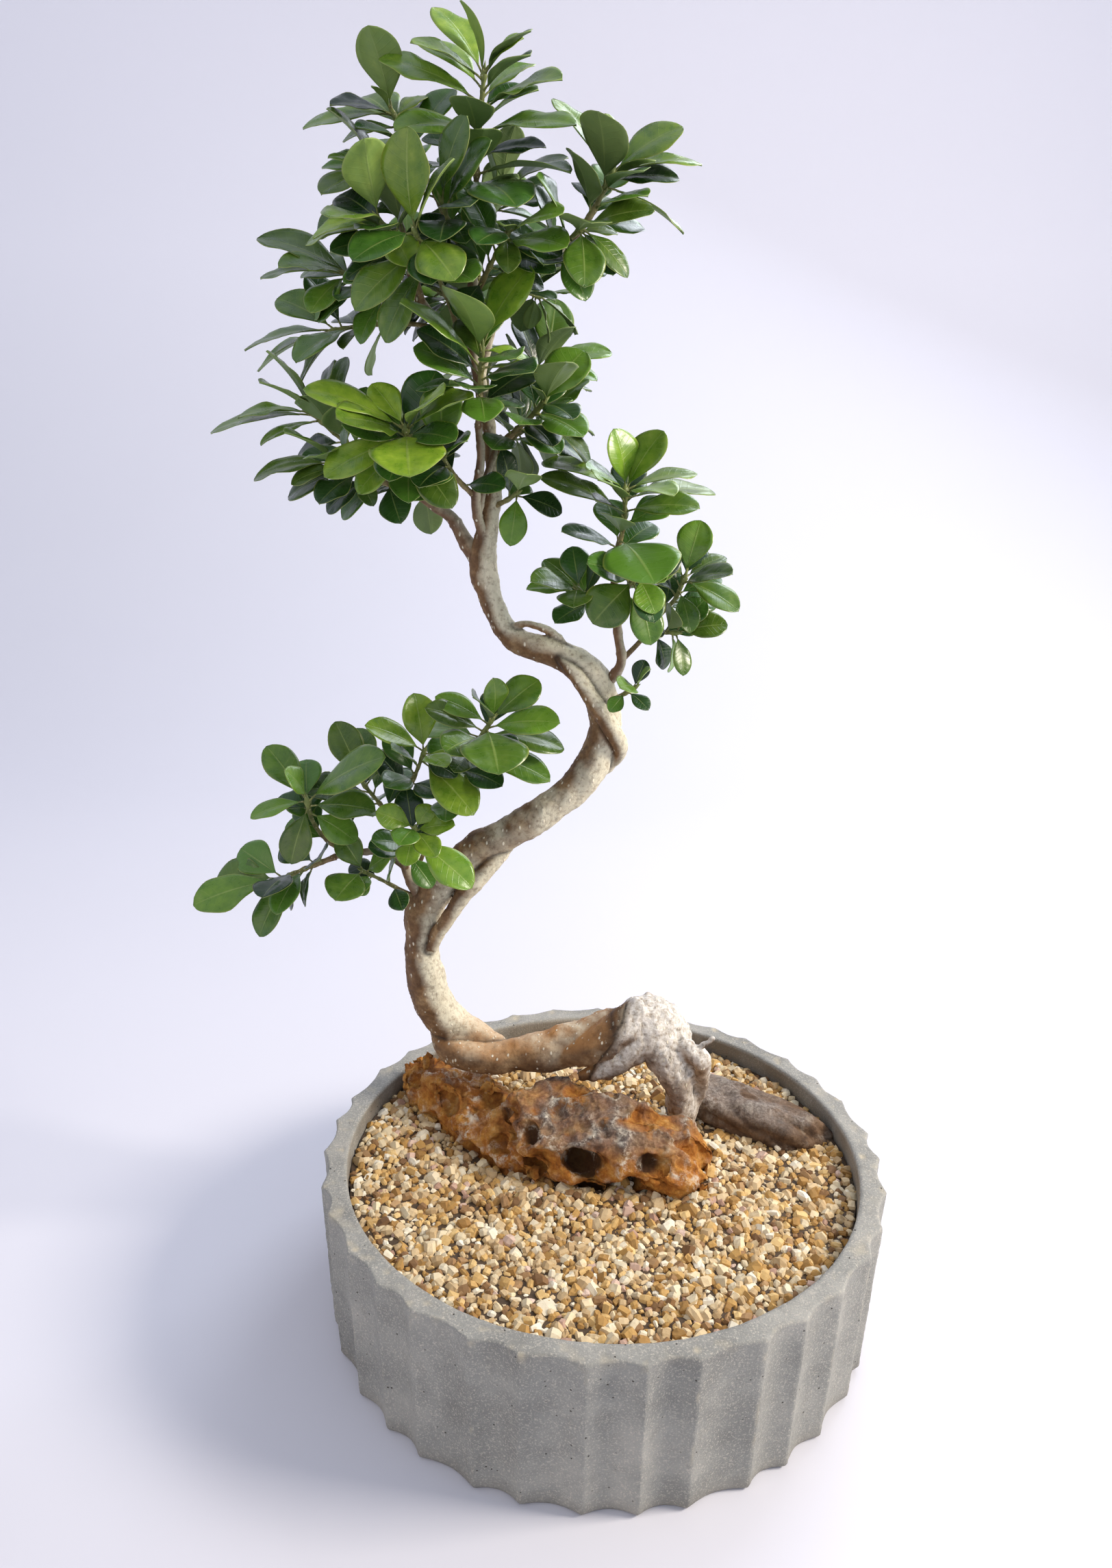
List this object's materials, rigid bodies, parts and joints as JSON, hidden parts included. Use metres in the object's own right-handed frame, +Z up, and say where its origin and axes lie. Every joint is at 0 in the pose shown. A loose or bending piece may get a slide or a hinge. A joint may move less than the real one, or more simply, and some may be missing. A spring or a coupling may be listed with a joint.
{
  "type": "potted bonsai tree",
  "caption": "Small-leaved fig bonsai with a twisting trunk and leafy shoots, in a round fluted concrete bowl dressed with gravel and weathered rocks.",
  "frame": {"origin": "middle of the bowl's flat underside, on the surface it stands on", "axes": "+Z up along the bowl's axis; -Y towards the side the plant is shown from; +X to the right seen from there, with the crown leaning to -X"},
  "size_m": [0.4154, 0.3399, 0.7295],
  "materials": {
    "cast_concrete": "matte",
    "black_mesh_plastic": "matte",
    "potting_soil": "matte",
    "tan_gravel": "matte",
    "ochre_rock": "matte",
    "fig_bark": "matte",
    "fig_leaf": "satin"
  },
  "bodies": {
    "root": {"bowl": "cast_concrete", "drain_screen_1": "black_mesh_plastic", "drain_screen_2": "black_mesh_plastic", "drain_screen_3": "black_mesh_plastic", "soil": "potting_soil", "gravel_bed": "tan_gravel", "left_rock": "ochre_rock", "right_rock": "ochre_rock", "side_stone": "ochre_rock", "trunk": "fig_bark", "lower_left_branch": "fig_bark", "lower_outer_branch": "fig_bark", "right_branch": "fig_bark", "crown_left_branch": "fig_bark", "crown_leader": "fig_bark", "crown_right_branch": "fig_bark", "left_leader": "fig_bark", "front_leader": "fig_bark", "front_side_branch": "fig_bark", "lower_right_shoot": "fig_leaf", "lower_middle_shoot": "fig_leaf", "lower_back_shoot": "fig_leaf", "lower_left_shoot": "fig_leaf", "lower_outer_shoot": "fig_leaf", "lower_front_shoot": "fig_leaf", "lower_small_shoot": "fig_leaf", "right_left_shoot": "fig_leaf", "right_front_shoot": "fig_leaf", "right_top_shoot": "fig_leaf", "right_outer_shoot": "fig_leaf", "right_low_shoot": "fig_leaf", "right_foot_shoot": "fig_leaf", "top_shoot": "fig_leaf", "upper_left_shoot": "fig_leaf", "upper_middle_shoot": "fig_leaf", "left_bright_shoot": "fig_leaf", "left_middle_shoot": "fig_leaf", "left_hanging_shoot": "fig_leaf", "front_upper_shoot": "fig_leaf", "front_leader_shoot": "fig_leaf", "right_inner_shoot": "fig_leaf", "left_main_shoot": "fig_leaf", "left_outer_shoot": "fig_leaf", "left_low_shoot": "fig_leaf", "front_small_shoot": "fig_leaf", "right_backward_shoot": "fig_leaf", "trunk_side_shoot": "fig_leaf", "right_upper_shoot": "fig_leaf", "right_middle_shoot": "fig_leaf", "right_drooping_shoot": "fig_leaf", "centre_right_shoot": "fig_leaf", "centre_left_shoot": "fig_leaf", "back_low_shoot": "fig_leaf", "back_right_shoot": "fig_leaf", "upper_back_shoot": "fig_leaf", "back_left_shoot": "fig_leaf", "back_high_shoot": "fig_leaf", "back_outer_shoot": "fig_leaf"}
  },
  "joints": []
}
